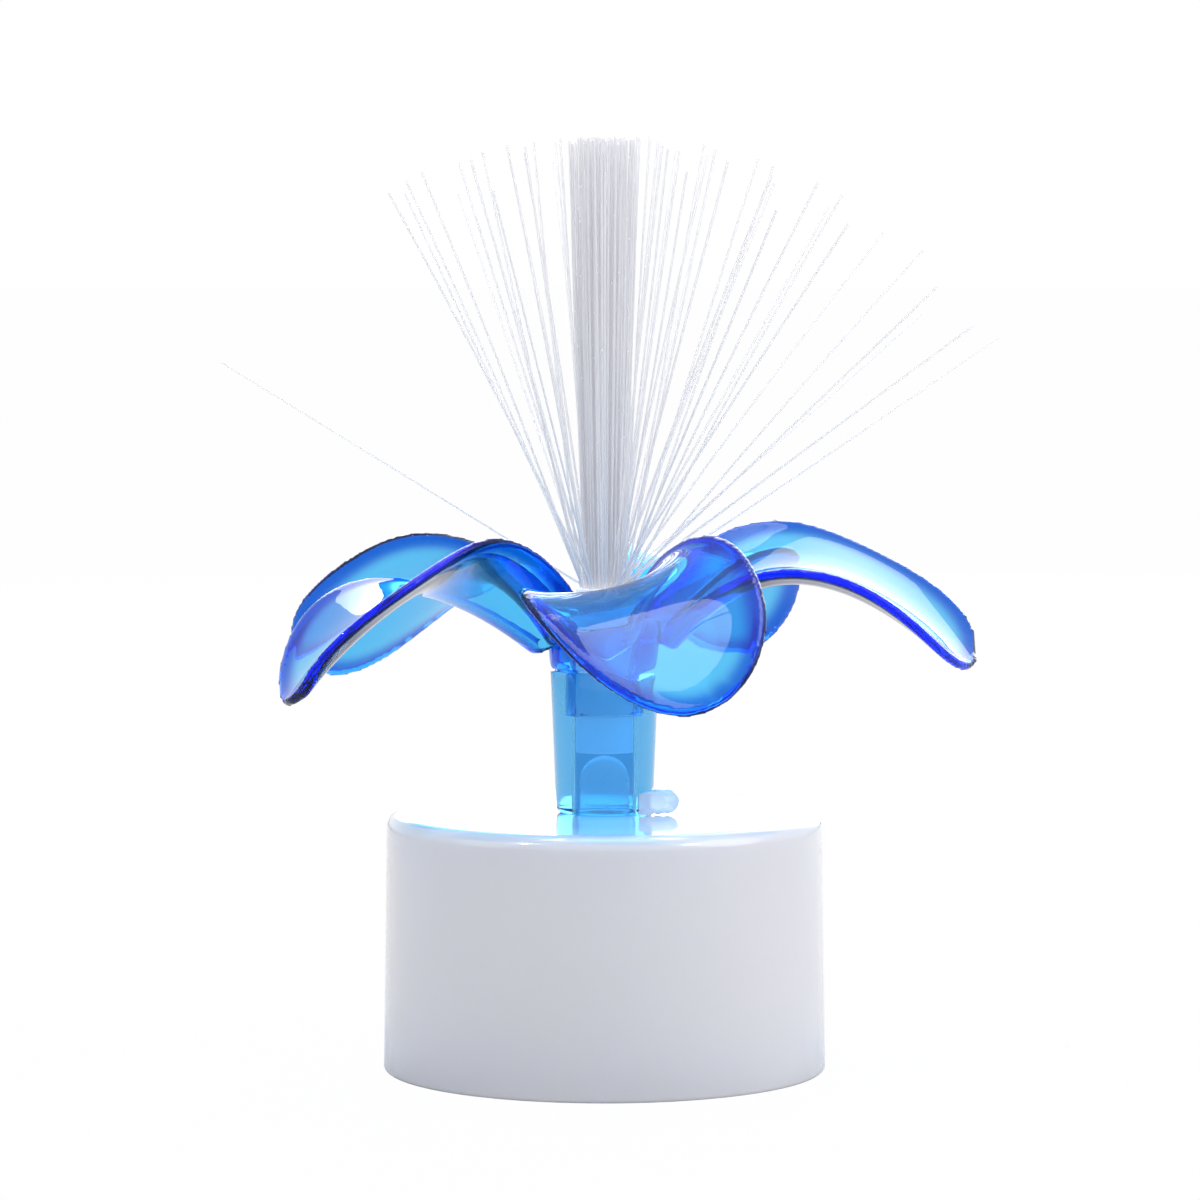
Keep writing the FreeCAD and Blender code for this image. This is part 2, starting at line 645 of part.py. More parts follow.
def flower_shape():
    """Return the flower: a neck with a flared cup and five petals turned round it."""
    seat = size("base_height") + size("stem_height")
    neck_radius = size("mouth_radius") - size("neck_fit")
    bottom = seat - size("mouth_depth")
    top = seat + size("neck_rise")
    shoulder_step = size("neck_shoulder")
    outline = Part.makePolygon([
        Vector(size("neck_bore_radius"), 0, bottom),
        Vector(neck_radius, 0, bottom),
        Vector(neck_radius, 0, seat),
        Vector(neck_radius + shoulder_step, 0, seat + shoulder_step),
        Vector(size("flare_radius"), 0, top),
        Vector(size("flare_radius") - size("petal_wall"), 0, top),
        Vector(size("neck_bore_radius"), 0, seat + size("neck_rise") / 2),
        Vector(size("neck_bore_radius"), 0, bottom),
    ])
    neck = Part.Face(outline).revolve(Vector(0, 0, 0), Vector(0, 0, 1), 360)
    petal = Part.makeLoft([petal_section(step) for step in PETAL_STEPS], True, False)
    bore = Part.makeCylinder(size("neck_bore_radius"), size("stem_height") * 3, Vector(0, 0, bottom))
    flower = neck
    for number in range(PETALS):
        turned = petal.copy()
        turned.rotate(Vector(0, 0, 0), Vector(0, 0, 1), size("first_petal_angle") + number * 360 / PETALS)
        flower = flower.fuse(turned)
    return flower.cut(bore)


finished(shaped("petals_and_neck", flower_shape()), "flower")

# Fibre bundle: a sleeve round the bonded lower lengths of the strands
FERRULE_FOOT = "(%s) + led_height + led_clearance" % LED_FOOT
FERRULE_TOP = "(%s) + ferrule_rise" % STEM_TOP
ferrule_height = "(%s) - (%s)" % (FERRULE_TOP, FERRULE_FOOT)
sleeve = cylinder("ferrule_sleeve", "stem_bore_radius - ferrule_fit", ferrule_height, ("0", "0", FERRULE_FOOT))
sleeve_bore = cylinder("ferrule_bore", "stem_bore_radius - ferrule_fit - ferrule_wall", ferrule_height,
                       ("0", "0", FERRULE_FOOT))
finished(cut("ferrule", sleeve, sleeve_bore), "fibre_ferrule")
finished(cylinder("bundle", "stem_bore_radius - ferrule_fit - ferrule_wall", ferrule_height,
                  ("0", "0", FERRULE_FOOT)), "fibre_bundle")

# Strands: lean from the upright in degrees, toward the right and the left as seen from the front
RIGHT_LEANS = (3, 5, 7, 8.5, 10, 12, 13.5, 15.5, 17.5, 19.5, 22, 23.5, 26, 28.5, 31, 34.5, 38, 41, 47, 52, 54, 56)
LEFT_LEANS = (4, 6, 8, 9.5, 11.5, 13, 15, 16.5, 19, 21.5, 23.5, 26.5, 29, 60)
FRONT_BACK_LEANS = (8, 12, 16, 20, 24, 28, 32)


def strand(root, lean, turn, length):
    """Return one straight strand from its root on the bundle, leaning by an angle toward a turn."""
    tilt = math.radians(lean)
    heading = math.radians(turn)
    direction = Vector(math.sin(tilt) * math.cos(heading), math.sin(tilt) * math.sin(heading), math.cos(tilt))
    return Part.makeCylinder(size("strand_radius"), length, root, direction)


def bundle_top():
    """Return the height of the bundle's top face."""
    return size("base_height") + size("stem_height") + size("ferrule_rise")


def core_strands():
    """Return the dense upright strands, in rings, each ring leaning out a little more."""
    strands = []
    rings = int(size("core_rings"))
    for ring in range(rings + 1):
        count = max(1, 6 * ring)
        for place_in_ring in range(count):
            turn = 360.0 * place_in_ring / count + 17 * ring
            radius = ring * size("core_pitch")
            around = math.radians(turn)
            root = Vector(radius * math.cos(around), radius * math.sin(around), bundle_top())
            lean = size("core_splay") * ring / rings
            length = size("strand_length") - size("core_stagger") * ((7 * place_in_ring + 3 * ring) % 5)
            strands.append(strand(root, lean, turn, length))
    return Part.makeCompound(strands)


def fan_strands():
    """Return the strands that spread: to the right, to the left, and to the front and back."""
    strands = []
    inner_lane = size("core_pitch") * size("core_rings") + size("fan_lane_gap")
    fans = ((RIGHT_LEANS, 0, 24, 70), (LEFT_LEANS, 180, 24, 60),
            (FRONT_BACK_LEANS, 90, 40, 40), (FRONT_BACK_LEANS, 270, 40, 40))
    for leans, heading, swing, root_swing in fans:
        for number, lean in enumerate(leans):
            offset = math.sin(2.4 * number + heading)
            around = math.radians(heading + root_swing * offset)
            lane = inner_lane + size("fan_lane_step") * (number % 2)
            root = Vector(lane * math.cos(around), lane * math.sin(around), bundle_top())
            length = size("strand_length") - size("fan_stagger") * (number % 4)
            strands.append(strand(root, lean, heading + swing * offset, length))
    return Part.makeCompound(strands)


finished(shaped("upright_strands", core_strands()), "fibre_core")
finished(shaped("spread_strands", fan_strands()), "fibre_fan")


def wire_piece(name, label, points):
    """Add a wire of the lamp's wire size along some points."""
    path = bent_wire([Vector(*point) for point in points], size("wire_bend"))
    finished(shaped(name, swept_round(path, size("wire_radius"))), label)


trough_top = cell_level() + size("cell_radius") + size("cell_room") + size("trough_wall")
board_top = trough_top + size("post_height") + size("board_thickness")
pin_top = size("cover_recess") + size("cover_thickness") + size("switch_height") + size("pin_height")
tail_x = 1.5 * size("cell_thickness") + size("contact_room")
tail_joint = trough_top + size("wire_start_lift")
board_joint = board_top + size("wire_radius")
pin_joint = pin_top - size("pin_joint_drop")
red_y = size("trough_y") + size("red_wire_step")
red_x = tail_x + size("red_wire_reach")
black_x = -tail_x - size("black_wire_reach")
black_y = size("switch_y") - size("black_wire_step")
switch_wire_top = board_top + size("switch_wire_rise")
switch_wire_y = size("board_width") / 2 - size("switch_wire_inset")
wire_piece("wire_plus", "red_wire", [
    (tail_x + size("wire_radius"), size("trough_y"), tail_joint),
    (red_x, size("trough_y"), tail_joint),
    (red_x, red_y, board_joint),
    (size("board_length") / 2 - size("wire_end_inset"), red_y, board_joint),
])
wire_piece("wire_minus", "black_wire", [
    (-tail_x - size("wire_radius"), size("trough_y"), tail_joint),
    (black_x, size("trough_y"), tail_joint),
    (black_x, black_y, pin_joint),
    (-size("pin_pitch") - size("black_wire_step"), size("switch_y"), pin_joint),
    (-size("pin_pitch") - size("pin_width") / 2 - size("wire_end_gap"), size("switch_y"), pin_joint),
])
wire_piece("wire_switch", "switch_wire", [
    (0, size("switch_y"), pin_top + size("wire_end_gap")),
    (0, size("switch_y"), switch_wire_top),
    (0, switch_wire_y, switch_wire_top),
    (0, switch_wire_y, board_top + size("wire_end_gap")),
])

doc.recompute()

# Every object has to be sound before anything is written
for thing in doc.Objects:
    if "Invalid" in thing.State or "Error" in thing.State:
        raise RuntimeError("%s failed: %s" % (thing.Label, thing.State))
unsound = [piece.Label for piece in pieces if piece.Shape.isNull() or not piece.Shape.isValid()]
if unsound:
    raise RuntimeError("no sound shape: " + ", ".join(unsound))
for piece in pieces:
    piece.Shape.exportStep("parts/%s.step" % piece.Label)
    print("%-18s solids %3d volume %9.2f" % (piece.Label, len(piece.Shape.Solids), piece.Shape.Volume))
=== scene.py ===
"""Looks of a small table lamp: milky base, clear blue stem and flower, and a spray of optical fibres."""

import json
import logging
import math
import random
from dataclasses import dataclass, field
from enum import Enum
from typing import Iterable, Sequence

import bpy
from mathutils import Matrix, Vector
from mathutils.kdtree import KDTree

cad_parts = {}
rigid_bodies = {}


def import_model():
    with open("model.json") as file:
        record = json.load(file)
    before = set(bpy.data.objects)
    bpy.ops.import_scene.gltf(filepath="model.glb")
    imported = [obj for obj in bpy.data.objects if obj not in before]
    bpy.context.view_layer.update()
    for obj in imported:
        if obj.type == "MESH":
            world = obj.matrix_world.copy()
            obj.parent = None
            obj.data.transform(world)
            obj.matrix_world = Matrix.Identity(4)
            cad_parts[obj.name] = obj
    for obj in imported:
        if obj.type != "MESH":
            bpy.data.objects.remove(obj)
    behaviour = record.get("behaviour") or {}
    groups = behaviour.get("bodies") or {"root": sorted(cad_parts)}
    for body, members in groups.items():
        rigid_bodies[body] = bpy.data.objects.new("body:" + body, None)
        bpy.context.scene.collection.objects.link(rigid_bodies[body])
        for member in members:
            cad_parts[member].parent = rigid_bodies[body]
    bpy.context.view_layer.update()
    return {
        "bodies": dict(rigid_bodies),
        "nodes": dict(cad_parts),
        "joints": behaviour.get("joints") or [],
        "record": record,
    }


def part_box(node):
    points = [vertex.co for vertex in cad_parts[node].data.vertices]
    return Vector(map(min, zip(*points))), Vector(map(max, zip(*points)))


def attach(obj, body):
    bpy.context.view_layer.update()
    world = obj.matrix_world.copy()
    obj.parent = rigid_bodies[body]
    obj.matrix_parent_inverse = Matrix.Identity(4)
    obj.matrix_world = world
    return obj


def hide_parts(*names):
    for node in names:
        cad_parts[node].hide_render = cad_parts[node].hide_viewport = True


LOG = logging.getLogger("lamp")
MM = 0.001
# Attribute that holds the masks for painted light: red for the painted shade at the petal rims, green for the
# painted light on the neck.
PAINTED_LIGHT_MARKS = "painted_light_marks"
SEAT_GAP = 0.01 * MM
Point = tuple[float, float]
Colour = tuple[float, float, float]
Triple = tuple[float, float, float]


class Body(Enum):
    """The bodies that pieces ride on."""

    BASE = "base"
    HEAD = "flower_head"
    DOOR = "door"
    SCREW = "lock_screw"
    SLIDER = "slider"


class End(Enum):
    """How a turned piece is closed where its outline stops."""

    LOOP = "loop"
    CAPPED = "capped"


def clear_selection() -> None:
    """Leave nothing selected."""
    bpy.ops.object.select_all(action="DESELECT")


def pick(thing: bpy.types.Object) -> bpy.types.Object:
    """Make one object the only selected and active one.

    Args:
        thing: The object to work on.

    Returns:
        The same object.
    """
    clear_selection()
    thing.select_set(True)
    bpy.context.view_layer.objects.active = thing
    return thing


def named(name: str) -> bpy.types.Object:
    """Give the active object and its mesh a name.

    Args:
        name: The piece's name.

    Returns:
        The active object.
    """
    thing = bpy.context.active_object
    thing.name = name
    thing.data.name = name
    return thing


def settle(thing: bpy.types.Object) -> None:
    """Put an object's place, turn and scale into its mesh.

    Args:
        thing: The finished piece.
    """
    pick(thing)
    bpy.ops.object.transform_apply(location=True, rotation=True, scale=True)


def apply_modifier(thing: bpy.types.Object, kind: str, **settings: object) -> None:
    """Add a modifier with some settings and apply it.

    Args:
        thing: The piece.
        kind: Blender's name for the modifier's type.
        **settings: Values of the modifier's properties.
    """
    pick(thing)
    modifier = thing.modifiers.new(kind.lower(), kind)
    for name, value in settings.items():
        setattr(modifier, name, value)
    bpy.ops.object.modifier_apply(modifier=modifier.name)


def smooth(thing: bpy.types.Object, angle: float = 35.0) -> None:
    """Shade a piece smooth, apart from edges sharper than an angle.

    Args:
        thing: The piece.
        angle: The sharpest smooth edge, in degrees.
    """
    pick(thing)
    bpy.ops.object.shade_smooth_by_angle(angle=math.radians(angle))


def face_outward(thing: bpy.types.Object, gap: float = 1e-6) -> None:
    """Merge doubles and turn all faces of a closed piece outward.

    Args:
        thing: The piece.
        gap: The distance under which vertices are merged, in metres.
    """
    pick(thing)
    bpy.ops.object.mode_set(mode="EDIT")
    bpy.ops.mesh.select_all(action="SELECT")
    bpy.ops.mesh.remove_doubles(threshold=gap)
    bpy.ops.mesh.normals_make_consistent(inside=False)
    bpy.ops.object.mode_set(mode="OBJECT")


def fillet(before: Point, corner: Point, after: Point, radius: float, steps: int = 6) -> list[Point]:
    """Round a corner of an outline.

    Args:
        before: The point ahead of the corner.
        corner: The sharp corner.
        after: The point behind the corner.
        radius: The fillet's radius.
        steps: How many spans the round has.

    Returns:
        The points of the round, from the side of before to the side of after.
    """
    here = Vector(corner)
    one = (Vector(before) - here).normalized()
    two = (Vector(after) - here).normalized()
    half = one.angle(two) / 2
    centre = here + (one + two).normalized() * (radius / math.sin(half))
    first = here + one * (radius / math.tan(half)) - centre
    last = here + two * (radius / math.tan(half)) - centre
    points = []
    for step in range(steps + 1):
        share = step / steps
        spoke = first.normalized().slerp(last.normalized(), share) * radius
        points.append((centre.x + spoke.x, centre.y + spoke.y))
    return points


def turned(name: str, outline: Sequence[Point], sides: int = 128, end: End = End.LOOP) -> bpy.types.Object:
    """Turn an outline round Z, ring by ring, by extruding a circle.

    Args:
        name: The piece's name.
        outline: Points of (radius, height) in metres.
        sides: How many sides the rings have.
        end: Whether the outline closes on itself or is capped at both ends.

    Returns:
        The turned piece.
    """
    clear_selection()
    radius, height = outline[0]
    fill = "NGON" if end is End.CAPPED else "NOTHING"
    bpy.ops.mesh.primitive_circle_add(vertices=sides, radius=radius, fill_type=fill, location=(0, 0, height))
    thing = named(name)
    settle(thing)
    bpy.ops.object.mode_set(mode="EDIT")
    bpy.ops.mesh.select_all(action="SELECT")
    for next_radius, next_height in list(outline[1:]) + ([outline[0]] if end is End.LOOP else []):
        bpy.ops.mesh.extrude_region_move(TRANSFORM_OT_translate={"value": (0, 0, next_height - height)})
        growth = next_radius / radius
        bpy.ops.transform.resize(value=(growth, growth, 1), center_override=(0, 0, next_height))
        radius, height = next_radius, next_height
    bpy.ops.object.mode_set(mode="OBJECT")
    face_outward(thing)
    smooth(thing)
    return thing


def keep(piece: bpy.types.Object, body: Body, slot: str, finish: bpy.types.Material, *nodes: str) -> None:
    """Dress a finished piece and tie it to the frame.

    Args:
        piece: The finished piece.
        body: The body that it rides on.
        slot: The record's material slot; not used.
        finish: Its material.
        *nodes: The CAD nodes that it stands for.
    """
    piece.data.materials.clear()
    piece.data.materials.append(finish)
    if nodes:
        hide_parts(*nodes)
    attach(piece, body.value)
    LOG.info("%s: %d faces, rides on %s", piece.name, len(piece.data.polygons), body.value)


# Shader groups that several finishes share


def variation_group() -> bpy.types.NodeTree:
    """Build the group that varies a colour and a roughness a little over a surface.

    Returns:
        The group, which puts out a colour, a roughness and a height.
    """
    broad_detail, fine_detail, fineness = 3.0, 2.0, 6.0
    tree = bpy.data.node_groups.new("surface_variation", "ShaderNodeTree")
    tree.interface.new_socket("Colour", in_out="INPUT", socket_type="NodeSocketColor")
    tree.interface.new_socket("Second Colour", in_out="INPUT", socket_type="NodeSocketColor")
    tree.interface.new_socket("Roughness", in_out="INPUT", socket_type="NodeSocketFloat")
    tree.interface.new_socket("Roughness Spread", in_out="INPUT", socket_type="NodeSocketFloat")
    tree.interface.new_socket("Scale", in_out="INPUT", socket_type="NodeSocketFloat")
    tree.interface.new_socket("Colour", in_out="OUTPUT", socket_type="NodeSocketColor")
    tree.interface.new_socket("Roughness", in_out="OUTPUT", socket_type="NodeSocketFloat")
    tree.interface.new_socket("Height", in_out="OUTPUT", socket_type="NodeSocketFloat")
    entry = tree.nodes.new("NodeGroupInput")
    leave = tree.nodes.new("NodeGroupOutput")
    place = tree.nodes.new("ShaderNodeTexCoord")
    broad = tree.nodes.new("ShaderNodeTexNoise")
    broad.inputs["Detail"].default_value = broad_detail
    fine = tree.nodes.new("ShaderNodeTexNoise")
    fine.inputs["Detail"].default_value = fine_detail
    finer = tree.nodes.new("ShaderNodeMath")
    finer.operation = "MULTIPLY"
    finer.inputs[1].default_value = fineness
    blend = tree.nodes.new("ShaderNodeMix")
    blend.data_type = "RGBA"
    spread = tree.nodes.new("ShaderNodeMath")
    spread.operation = "MULTIPLY_ADD"
    link = tree.links.new
    link(place.outputs["Object"], broad.inputs["Vector"])
    link(place.outputs["Object"], fine.inputs["Vector"])
    link(entry.outputs["Scale"], broad.inputs["Scale"])
    link(entry.outputs["Scale"], finer.inputs[0])
    link(finer.outputs[0], fine.inputs["Scale"])
    link(broad.outputs["Fac"], blend.inputs["Factor"])
    link(entry.outputs["Colour"], blend.inputs["A"])
    link(entry.outputs["Second Colour"], blend.inputs["B"])
    link(fine.outputs["Fac"], spread.inputs[0])
    link(entry.outputs["Roughness Spread"], spread.inputs[1])
    link(entry.outputs["Roughness"], spread.inputs[2])
    link(blend.outputs["Result"], leave.inputs["Colour"])
    link(spread.outputs[0], leave.inputs["Roughness"])
    link(fine.outputs["Fac"], leave.inputs["Height"])
    return tree


def blank_material(name: str) -> tuple[bpy.types.Material, bpy.types.NodeTree, bpy.types.Node]:
    """Start a material with a Principled shader.

    Args:
        name: The material's name.

    Returns:
        The material, its node tree and its Principled node.
    """
    material = bpy.data.materials.new(name)
    material.use_nodes = True
    return material, material.node_tree, material.node_tree.nodes["Principled BSDF"]


@dataclass(frozen=True)
class Plastic:
    """A moulded plastic that light doesn't cross, or only just enters."""

    name: str
    colour: Colour
    second: Colour
    roughness: float = 0.3
    spread: float = 0.08
    scale: float = 60.0
    bump: float = 0.02
    glow: float = 0.0
    glow_depth: float = 0.002
    coat: float = 0.0
    coat_roughness: float = 0.05
    metal: float = 0.0
    bump_depth: float = 0.2 * MM
    glow_reach: Triple = (1.0, 1.0, 1.1)

    def material(self, group: bpy.types.NodeTree) -> bpy.types.Material:
        """Build the material.

        Args:
            group: The shared surface variation group.

        Returns:
            The finished material.
        """
        material, tree, shader = blank_material(self.name)
        vary = tree.nodes.new("ShaderNodeGroup")
        vary.node_tree = group
        vary.inputs["Colour"].default_value = (*self.colour, 1)
        vary.inputs["Second Colour"].default_value = (*self.second, 1)
        vary.inputs["Roughness"].default_value = self.roughness
        vary.inputs["Roughness Spread"].default_value = self.spread
        vary.inputs["Scale"].default_value = self.scale
        bump = tree.nodes.new("ShaderNodeBump")
        bump.inputs["Strength"].default_value = self.bump
        bump.inputs["Distance"].default_value = self.bump_depth
        tree.links.new(vary.outputs["Colour"], shader.inputs["Base Color"])
        tree.links.new(vary.outputs["Roughness"], shader.inputs["Roughness"])
        tree.links.new(vary.outputs["Height"], bump.inputs["Height"])
        tree.links.new(bump.outputs["Normal"], shader.inputs["Normal"])
        shader.inputs["Metallic"].default_value = self.metal
        shader.inputs["Coat Weight"].default_value = self.coat
        shader.inputs["Coat Roughness"].default_value = self.coat_roughness
        if self.glow:
            shader.inputs["Subsurface Weight"].default_value = self.glow
            shader.inputs["Subsurface Radius"].default_value = self.glow_reach
            shader.inputs["Subsurface Scale"].default_value = self.glow_depth
        return material


@dataclass(frozen=True)
class ClearPlastic:
    """A clear or milky plastic, tinted where light enters it and by how far the light runs inside, with
    optional painted shade near rims, painted light on the neck and a painted glow.
    """

    name: str
    tint: Colour
    roughness: float = 0.02
    spread: float = 0.02
    scale: float = 80.0
    index: float = 1.49
    clearness: float = 1.0
    coat: float = 0.0
    coat_roughness: float = 0.02
    second_share: float = 0.97
    absorbed: Colour = (1.0, 1.0, 1.0)
    density: float = 0.0
    # Colour of the painted shade that deepens the blue near a petal's rims, standing in for the long path of
    # light through a rim seen edge-on.
    edge: Colour | None = None
    # Colour of the painted light that pales the neck where it sits in the stem's mouth, where the tube around
    # it would shade it darker.
    painted_neck_light: Colour | None = None
    # Colour and strength of a painted glow: emission that lifts a part out of its shade, though it is no
    # lamp.
    glow: Colour | None = None
    painted_glow_strength: float = 0.0

    def material(self, group: bpy.types.NodeTree) -> bpy.types.Material:
        """Build the material.

        Args:
            group: The shared surface variation group.

        Returns:
            The finished material.
        """
        material, tree, shader = blank_material(self.name)
        vary = tree.nodes.new("ShaderNodeGroup")
        vary.node_tree = group
        vary.inputs["Colour"].default_value = (*self.tint, 1)
        vary.inputs["Second Colour"].default_value = (*[self.second_share * part for part in self.tint], 1)
        vary.inputs["Roughness"].default_value = self.roughness
        vary.inputs["Roughness Spread"].default_value = self.spread
        vary.inputs["Scale"].default_value = self.scale
        colour = vary.outputs["Colour"]
        # Painted shade deepens the colour near the rims (red mark); painted light pales the neck in the
        # stem's mouth (green mark).
        if self.edge and self.painted_neck_light:
            marks = tree.nodes.new("ShaderNodeAttribute")
            marks.attribute_name = PAINTED_LIGHT_MARKS
            parts = tree.nodes.new("ShaderNodeSeparateColor")
            tree.links.new(marks.outputs["Color"], parts.inputs["Color"])
            for mark, tint in (("Red", self.edge), ("Green", self.painted_neck_light)):
                blend = tree.nodes.new("ShaderNodeMix")
                blend.data_type = "RGBA"
                blend.inputs["B"].default_value = (*tint, 1)
                tree.links.new(parts.outputs[mark], blend.inputs["Factor"])
                tree.links.new(colour, blend.inputs["A"])
                colour = blend.outputs["Result"]
        tree.links.new(colour, shader.inputs["Base Color"])
        tree.links.new(vary.outputs["Roughness"], shader.inputs["Roughness"])
        shader.inputs["Transmission Weight"].default_value = self.clearness
        shader.inputs["IOR"].default_value = self.index
        shader.inputs["Coat Weight"].default_value = self.coat
        shader.inputs["Coat Roughness"].default_value = self.coat_roughness
        # Painted glow: emission on a part that is no lamp.
        if self.glow:
            shader.inputs["Emission Color"].default_value = (*self.glow, 1)
            shader.inputs["Emission Strength"].default_value = self.painted_glow_strength
        if self.density:
            absorb = tree.nodes.new("ShaderNodeVolumeAbsorption")
            absorb.inputs["Color"].default_value = (*self.absorbed, 1)
            absorb.inputs["Density"].default_value = self.density
            tree.links.new(absorb.outputs["Volume"], tree.nodes["Material Output"].inputs["Volume"])
        return material


@dataclass
class Finishes:
    """All the lamp's materials, built once."""

    made: dict[str, bpy.types.Material] = field(default_factory=dict)

    def build(self) -> None:
        """Build every finish with the shared group."""
        group = variation_group()
        kinds: list[Plastic | ClearPlastic] = [
            Plastic("milky_shell", (0.83, 0.825, 0.89), (0.85, 0.845, 0.905), 0.2, 0.04, 35.0, 0.01,
                    glow=0.3, glow_depth=4 * MM, coat=1.0),
            Plastic("milky_cover", (0.80, 0.81, 0.84), (0.77, 0.78, 0.81), 0.42, 0.12, 90.0, 0.06),
            # The rims get a painted shade of deep blue, and the neck in the stem's mouth gets painted light,
            # nearly white.
            ClearPlastic("clear_blue", (0.18, 0.70, 0.96), index=1.2, clearness=0.97, coat=0.28,
                         absorbed=(0.02, 0.64, 0.95), density=460.0,
                         edge=(0.003, 0.15, 0.70), painted_neck_light=(0.95, 0.99, 1.0)),
            ClearPlastic("pale_blue", (0.18, 0.56, 0.86), 0.08, 0.05, index=1.12, clearness=0.93, coat=0.6,
                         absorbed=(0.08, 0.62, 0.97), density=60.0),
            # The bead gets a faint painted glow.
            ClearPlastic("adhesive", (0.66, 0.80, 0.96), 0.25, 0.1, 150.0, index=1.45, clearness=0.35,
                         coat=0.5, absorbed=(0.6, 0.8, 0.95), density=60.0,
                         glow=(0.70, 0.84, 1.0), painted_glow_strength=0.12),
            # The strands get a faint painted glow that lifts the shade among them.
            ClearPlastic("fibre", (0.98, 0.98, 1.0), 0.2, 0.1, 300.0, index=1.4, clearness=0.3,
                         glow=(0.90, 0.90, 1.0), painted_glow_strength=0.06),
            # Bundle and ferrule get a painted glow that lifts the shade inside the stem.
            ClearPlastic("bundle", (0.98, 0.99, 1.0), 0.3, 0.1, 300.0, index=1.45, clearness=0.0,
                         glow=(0.92, 0.96, 1.0), painted_glow_strength=0.40),
            ClearPlastic("ferrule", (0.97, 0.99, 1.0), 0.3, 0.1, 120.0, index=1.45, clearness=0.0,
                         glow=(0.92, 0.96, 1.0), painted_glow_strength=0.40),
            # The diode's lens gets a faint painted glow that lifts the shade on it.
            ClearPlastic("led_lens", (0.97, 0.99, 1.0), 0.2, 0.1, 120.0, index=1.06, clearness=0.8,
                         glow=(0.92, 0.96, 1.0), painted_glow_strength=0.10),
            Plastic("screw_steel", (0.62, 0.62, 0.64), (0.52, 0.52, 0.55), 0.24, 0.12, 500.0, 0.05,
                    metal=1.0),
            Plastic("cell_steel", (0.66, 0.66, 0.68), (0.58, 0.58, 0.60), 0.28, 0.12, 200.0, 0.04, metal=1.0),
            Plastic("contact_metal", (0.70, 0.69, 0.66), (0.60, 0.59, 0.57), 0.2, 0.1, 200.0, 0.03,
                    metal=1.0),
            Plastic("tinned_wire", (0.66, 0.66, 0.69), (0.55, 0.55, 0.58), 0.25, 0.1, 400.0, 0.03,
                    metal=1.0),
            Plastic("board_green", (0.02, 0.14, 0.06), (0.03, 0.19, 0.08), 0.35, 0.1, 220.0, 0.05, coat=0.3),
            Plastic("resistor_body", (0.60, 0.42, 0.24), (0.66, 0.48, 0.30), 0.3, 0.1, 300.0, 0.03),
            Plastic("switch_can", (0.62, 0.62, 0.63), (0.52, 0.52, 0.54), 0.3, 0.15, 300.0, 0.05, metal=1.0),
            Plastic("black_plastic", (0.018, 0.018, 0.02), (0.03, 0.03, 0.033), 0.45, 0.15, 260.0, 0.08),
            Plastic("red_sleeve", (0.50, 0.015, 0.012), (0.58, 0.025, 0.02), 0.35, 0.1, 260.0, 0.04),
            Plastic("black_sleeve", (0.015, 0.015, 0.016), (0.03, 0.03, 0.032), 0.38, 0.1, 260.0, 0.04),
        ]
        for kind in kinds:
            self.made[kind.name] = kind.material(group)

    def __getitem__(self, name: str) -> bpy.types.Material:
        """Return a finish by its name."""
        return self.made[name]


